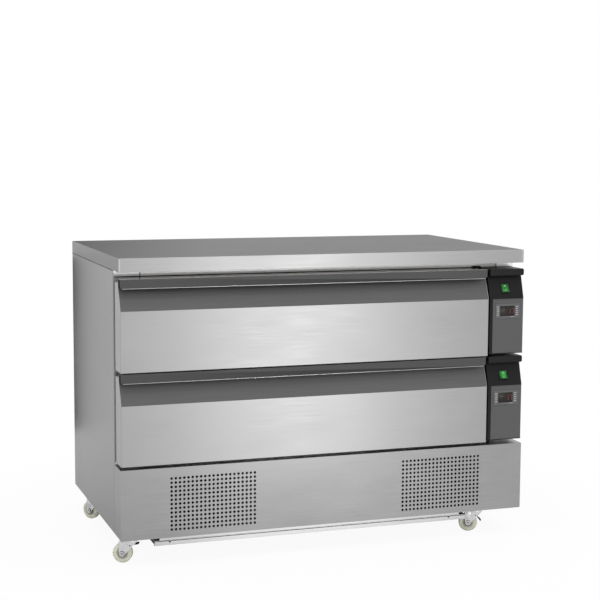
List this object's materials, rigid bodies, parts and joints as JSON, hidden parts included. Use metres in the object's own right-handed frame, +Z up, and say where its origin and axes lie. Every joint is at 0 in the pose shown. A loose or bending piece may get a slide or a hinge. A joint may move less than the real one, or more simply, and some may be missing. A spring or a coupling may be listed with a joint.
{
  "type": "refrigerated counter",
  "caption": "Low refrigerated counter on castors: insulated pull-out drawers under a stainless worktop, each with its own controls, above a perforated plinth that hides the cooling machine.",
  "frame": {"origin": "on the floor under the middle of the counter", "axes": "+X to the right along the front, +Y from the front to the back, +Z up"},
  "size_m": [1.2256, 0.7, 0.85],
  "materials": {
    "stainless": "brushed stainless steel",
    "dark_steel": "dark brushed steel",
    "board": "raw chipboard",
    "galvanised": "galvanised sheet steel",
    "foam": "rigid foam",
    "tub_plastic": "moulded food-grade plastic over foam",
    "gasket": "soft rubber seal",
    "black_plastic": "moulded black plastic, fine grain",
    "grey_plastic": "dark grey moulded panel",
    "display": "glossy display housing",
    "switch_green": "translucent green switch",
    "zinc": "bright zinc-plated steel",
    "nylon": "cream nylon",
    "pedal": "black moulded pedal",
    "aluminium": "bare aluminium",
    "copper": "copper tube",
    "compressor_paint": "black stoved paint",
    "fan_plastic": "black moulded fan"
  },
  "bodies": {
    "cabinet": {"worktop": "stainless", "worktop_core": "board", "side_panel_left": "stainless", "side_panel_right": "stainless", "back_panel": "galvanised", "top_rail": "stainless", "bay_wall_left": "stainless", "bay_wall_right": "stainless", "middle_shelf": "stainless", "bottom_deck": "stainless", "plinth_cover": "stainless", "base_pan": "galvanised", "tray_front": "stainless", "condensate_tray": "black_plastic", "condenser": "aluminium", "fan_shroud": "black_plastic", "compressor": "compressor_paint", "refrigerant_pipes": "copper", "electrical_box": "galvanised", "power_gland": "black_plastic", "evaporators": "aluminium", "runner_channels": "zinc", "castor_plates": "zinc", "lid_upper": "tub_plastic", "control_bezel_upper": "black_plastic", "control_panel_upper": "grey_plastic", "thermostat_upper": "display", "lid_lower": "tub_plastic", "control_bezel_lower": "black_plastic", "control_panel_lower": "grey_plastic", "thermostat_lower": "display"},
    "drawer_upper": {"drawer_panel_upper": "stainless", "drawer_handle_upper": "dark_steel", "drawer_core_upper": "foam", "drawer_gasket_upper": "gasket", "drawer_tub_upper": "tub_plastic", "runner_inner_upper": "zinc"},
    "runner_upper": {"runner_middle_upper": "zinc"},
    "rocker_upper": {"rocker_upper": "switch_green"},
    "drawer_lower": {"drawer_panel_lower": "stainless", "drawer_handle_lower": "dark_steel", "drawer_core_lower": "foam", "drawer_gasket_lower": "gasket", "drawer_tub_lower": "tub_plastic", "runner_inner_lower": "zinc"},
    "runner_lower": {"runner_middle_lower": "zinc"},
    "rocker_lower": {"rocker_lower": "switch_green"},
    "condenser_fan": {"condenser_fan": "fan_plastic"},
    "castor_fork_front_left": {"castor_fork_front_left": "zinc"},
    "castor_wheel_front_left": {"castor_wheel_front_left": "nylon"},
    "castor_pedal_front_left": {"castor_pedal_front_left": "pedal"},
    "castor_fork_front_right": {"castor_fork_front_right": "zinc"},
    "castor_wheel_front_right": {"castor_wheel_front_right": "nylon"},
    "castor_pedal_front_right": {"castor_pedal_front_right": "pedal"},
    "castor_fork_rear_left": {"castor_fork_rear_left": "zinc"},
    "castor_wheel_rear_left": {"castor_wheel_rear_left": "nylon"},
    "castor_pedal_rear_left": {"castor_pedal_rear_left": "pedal"},
    "castor_fork_rear_right": {"castor_fork_rear_right": "zinc"},
    "castor_wheel_rear_right": {"castor_wheel_rear_right": "nylon"},
    "castor_pedal_rear_right": {"castor_pedal_rear_right": "pedal"}
  },
  "joints": [
    {"name": "drawer_upper_slide", "type": "slide", "parent": "cabinet", "child": "drawer_upper", "axis": [0, -1, 0], "range_m": [0, 0.49]},
    {"name": "runner_upper_slide", "type": "slide", "parent": "cabinet", "child": "runner_upper", "axis": [0, -1, 0], "range_m": [0, 0.245]},
    {"name": "rocker_upper_tilt", "type": "hinge", "parent": "cabinet", "child": "rocker_upper", "pos_m": [0.548, -0.33782, 0.73601], "axis": [1, 0, 0], "range_deg": [0, 18]},
    {"name": "drawer_lower_slide", "type": "slide", "parent": "cabinet", "child": "drawer_lower", "axis": [0, -1, 0], "range_m": [0, 0.49]},
    {"name": "runner_lower_slide", "type": "slide", "parent": "cabinet", "child": "runner_lower", "axis": [0, -1, 0], "range_m": [0, 0.245]},
    {"name": "rocker_lower_tilt", "type": "hinge", "parent": "cabinet", "child": "rocker_lower", "pos_m": [0.548, -0.33782, 0.47751], "axis": [1, 0, 0], "range_deg": [0, 18]},
    {"name": "condenser_fan_spin", "type": "hinge", "parent": "cabinet", "child": "condenser_fan", "pos_m": [-0.3455, -0.212, 0.1707], "axis": [0, 1, 0], "continuous": true},
    {"name": "castor_front_left_swivel", "type": "hinge", "parent": "cabinet", "child": "castor_fork_front_left", "pos_m": [-0.57, -0.298, 0.0645], "axis": [0, 0, 1], "continuous": true},
    {"name": "castor_front_left_roll", "type": "hinge", "parent": "castor_fork_front_left", "child": "castor_wheel_front_left", "pos_m": [-0.59025, -0.2894, 0.0275], "axis": [0.3907, 0.9205, 0], "continuous": true},
    {"name": "castor_front_left_brake", "type": "hinge", "parent": "castor_fork_front_left", "child": "castor_pedal_front_left", "pos_m": [-0.57, -0.298, 0.05], "axis": [0.3907, 0.9205, 0], "range_deg": [0, 60]},
    {"name": "castor_front_right_swivel", "type": "hinge", "parent": "cabinet", "child": "castor_fork_front_right", "pos_m": [0.486, -0.298, 0.0645], "axis": [0, 0, 1], "continuous": true},
    {"name": "castor_front_right_roll", "type": "hinge", "parent": "castor_fork_front_right", "child": "castor_wheel_front_right", "pos_m": [0.46575, -0.2894, 0.0275], "axis": [0.3907, 0.9205, 0], "continuous": true},
    {"name": "castor_front_right_brake", "type": "hinge", "parent": "castor_fork_front_right", "child": "castor_pedal_front_right", "pos_m": [0.486, -0.298, 0.05], "axis": [0.3907, 0.9205, 0], "range_deg": [-60, 0]},
    {"name": "castor_rear_left_swivel", "type": "hinge", "parent": "cabinet", "child": "castor_fork_rear_left", "pos_m": [-0.57, 0.18, 0.0645], "axis": [0, 0, 1], "continuous": true},
    {"name": "castor_rear_left_roll", "type": "hinge", "parent": "castor_fork_rear_left", "child": "castor_wheel_rear_left", "pos_m": [-0.58414, 0.19685, 0.0275], "axis": [0.766, 0.6428, 0], "continuous": true},
    {"name": "castor_rear_left_brake", "type": "hinge", "parent": "castor_fork_rear_left", "child": "castor_pedal_rear_left", "pos_m": [-0.57, 0.18, 0.05], "axis": [0.766, 0.6428, 0], "range_deg": [0, 60]},
    {"name": "castor_rear_right_swivel", "type": "hinge", "parent": "cabinet", "child": "castor_fork_rear_right", "pos_m": [0.486, 0.18, 0.0645], "axis": [0, 0, 1], "continuous": true},
    {"name": "castor_rear_right_roll", "type": "hinge", "parent": "castor_fork_rear_right", "child": "castor_wheel_rear_right", "pos_m": [0.46798, 0.19262, 0.0275], "axis": [0.5736, 0.8192, 0], "continuous": true},
    {"name": "castor_rear_right_brake", "type": "hinge", "parent": "castor_fork_rear_right", "child": "castor_pedal_rear_right", "pos_m": [0.486, 0.18, 0.05], "axis": [0.5736, 0.8192, 0], "range_deg": [0, 60]}
  ],
  "couplings": [
    {"joint": "runner_upper_slide", "follows": "drawer_upper_slide", "ratio": 0.5},
    {"joint": "runner_lower_slide", "follows": "drawer_lower_slide", "ratio": 0.5}
  ]
}
